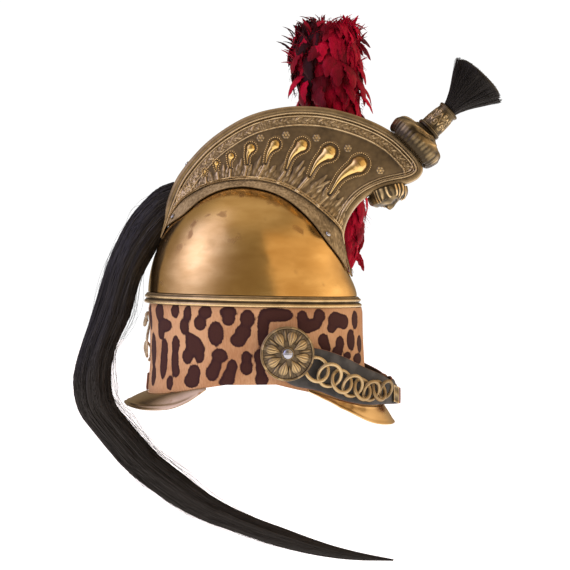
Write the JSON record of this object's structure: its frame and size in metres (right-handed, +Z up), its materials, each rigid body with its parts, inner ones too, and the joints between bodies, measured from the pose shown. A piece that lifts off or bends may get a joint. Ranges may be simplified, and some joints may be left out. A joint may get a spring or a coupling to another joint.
{
  "type": "dragoon helmet",
  "caption": "Brass cavalry helmet with spotted fur turban, tall embossed comb with mask and tuft, side plume, black horsehair tail and ring chain on a leather chin strap",
  "frame": {"origin": "centre of the head opening, level with the turban's lower side edge, where the helmet sits on a head", "axes": "+X is the front, +Y the wearer's left, +Z up"},
  "size_m": [0.4416, 0.216, 0.573],
  "materials": {
    "brass_polished": "polished",
    "brass_patina": "aged cast relief",
    "steel": "worn",
    "fur": "short spotted fur",
    "leather": "worn black",
    "horsehair": "long glossy hair",
    "feather": "soft feathers",
    "cord": "twisted cord"
  },
  "bodies": {
    "root": {"dome": "brass_polished", "dome_band": "brass_patina", "turban": "fur", "visor": "brass_polished", "neck_guard": "brass_polished", "crest_rim": "brass_patina", "crest_side_right": "brass_patina", "crest_side_left": "brass_patina", "crest_mask": "brass_patina", "crest_screw_rear_right": "steel", "crest_screw_rear_left": "steel", "crest_screw_front_right": "steel", "crest_screw_front_left": "steel", "crest_screw_top": "steel", "crest_screw_foot": "steel", "tuft_knob": "brass_patina", "tuft_socket": "brass_patina", "tuft_brush": "horsehair", "plume_socket": "brass_patina", "plume": "feather", "horsehair_tail": "horsehair", "chin_strap": "leather", "chain_ring_right_1": "brass_patina", "chain_ring_right_2": "brass_patina", "chain_ring_right_3": "brass_patina", "chain_ring_right_4": "brass_patina", "chain_ring_right_5": "brass_patina", "chain_ring_right_6": "brass_patina", "chain_ring_right_7": "brass_patina", "chain_ring_right_8": "brass_patina", "chain_ring_left_1": "brass_patina", "chain_ring_left_2": "brass_patina", "chain_ring_left_3": "brass_patina", "chain_ring_left_4": "brass_patina", "chain_ring_left_5": "brass_patina", "chain_ring_left_6": "brass_patina", "chain_ring_left_7": "brass_patina", "chain_ring_left_8": "brass_patina", "strap_hook_right": "brass_patina", "strap_hook_left": "brass_patina", "rosette_right": "brass_patina", "rosette_left": "brass_patina", "rosette_screw_right": "steel", "rosette_screw_left": "steel", "rear_lacing": "cord", "rear_tab": "leather"}
  },
  "joints": []
}
